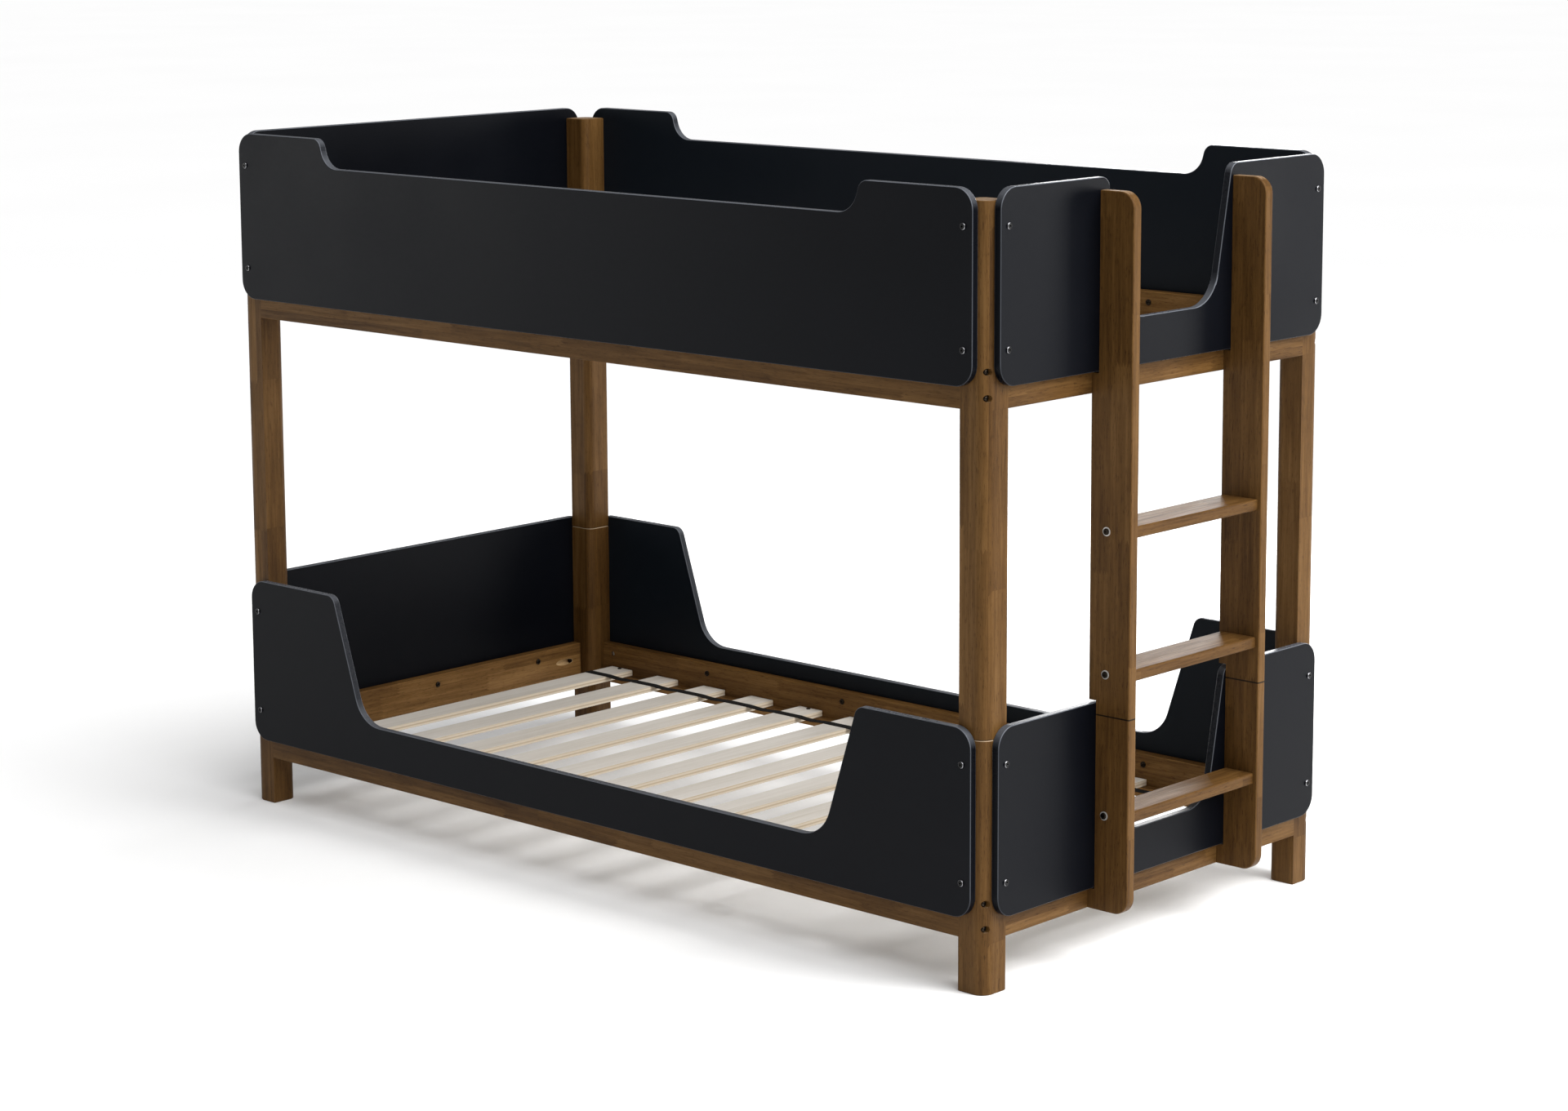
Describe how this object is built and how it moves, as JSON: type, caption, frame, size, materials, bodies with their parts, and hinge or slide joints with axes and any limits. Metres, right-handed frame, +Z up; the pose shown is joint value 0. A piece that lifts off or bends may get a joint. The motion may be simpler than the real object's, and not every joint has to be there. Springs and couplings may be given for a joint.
{
  "type": "bunk bed with ladder",
  "caption": "Low two-tier slatted bed frame with wooden posts and rails, cut-away dark side panels, and an upright ladder between stiles at the foot end.",
  "frame": {"origin": "on the floor, under the middle of the overall box", "axes": "+Z up, +X towards the foot end with the ladder, +Y towards the back side"},
  "size_m": [2.086, 1.016, 1.398],
  "materials": {
    "walnut": "satin oiled, finger-jointed",
    "black_panel": "satin black lacquer on board",
    "slat_wood": "plain sanded",
    "webbing": "woven",
    "zinc_steel": "zinc plated",
    "black_steel": "black oxide"
  },
  "bodies": {
    "lower_bed": {"lower_post_head_front": "walnut", "lower_post_head_back": "walnut", "lower_post_foot_front": "walnut", "lower_post_foot_back": "walnut", "lower_rail_front": "walnut", "lower_panel_front": "black_panel", "lower_rail_back": "walnut", "lower_panel_back": "black_panel", "lower_rail_head": "walnut", "lower_panel_head": "black_panel", "lower_rail_foot": "walnut", "lower_panel_foot": "black_panel", "lower_cleat_front": "walnut", "lower_strap_front": "webbing", "lower_stile_front": "walnut", "lower_cleat_back": "walnut", "lower_strap_back": "webbing", "lower_stile_back": "walnut", "lower_slats": "slat_wood", "lower_rung_1": "walnut", "lower_barrel_nuts": "zinc_steel", "lower_rung_washers": "zinc_steel", "lower_panel_bolts": "black_steel", "lower_corner_bolts": "black_steel", "lower_rung_bolts": "black_steel", "lower_rail_bolts": "black_steel", "lower_pocket_screws": "black_steel", "lower_stile_screws": "black_steel", "lower_slat_screws": "black_steel", "stacking_pins": "zinc_steel"},
    "upper_bed": {"upper_post_head_front": "walnut", "upper_post_head_back": "walnut", "upper_post_foot_front": "walnut", "upper_post_foot_back": "walnut", "upper_rail_front": "walnut", "upper_panel_front": "black_panel", "upper_rail_back": "walnut", "upper_panel_back": "black_panel", "upper_rail_head": "walnut", "upper_panel_head": "black_panel", "upper_rail_foot": "walnut", "upper_panel_foot": "black_panel", "upper_cleat_front": "walnut", "upper_strap_front": "webbing", "upper_stile_front": "walnut", "upper_cleat_back": "walnut", "upper_strap_back": "webbing", "upper_stile_back": "walnut", "upper_slats": "slat_wood", "upper_rung_2": "walnut", "upper_rung_3": "walnut", "upper_barrel_nuts": "zinc_steel", "upper_rung_washers": "zinc_steel", "upper_panel_bolts": "black_steel", "upper_corner_bolts": "black_steel", "upper_rung_bolts": "black_steel", "upper_rail_bolts": "black_steel", "upper_pocket_screws": "black_steel", "upper_stile_screws": "black_steel", "upper_slat_screws": "black_steel"}
  },
  "joints": [
    {"name": "upper_lift", "type": "slide", "parent": "lower_bed", "child": "upper_bed", "axis": [0, 0, 1], "range_m": [0, 0.12]}
  ]
}
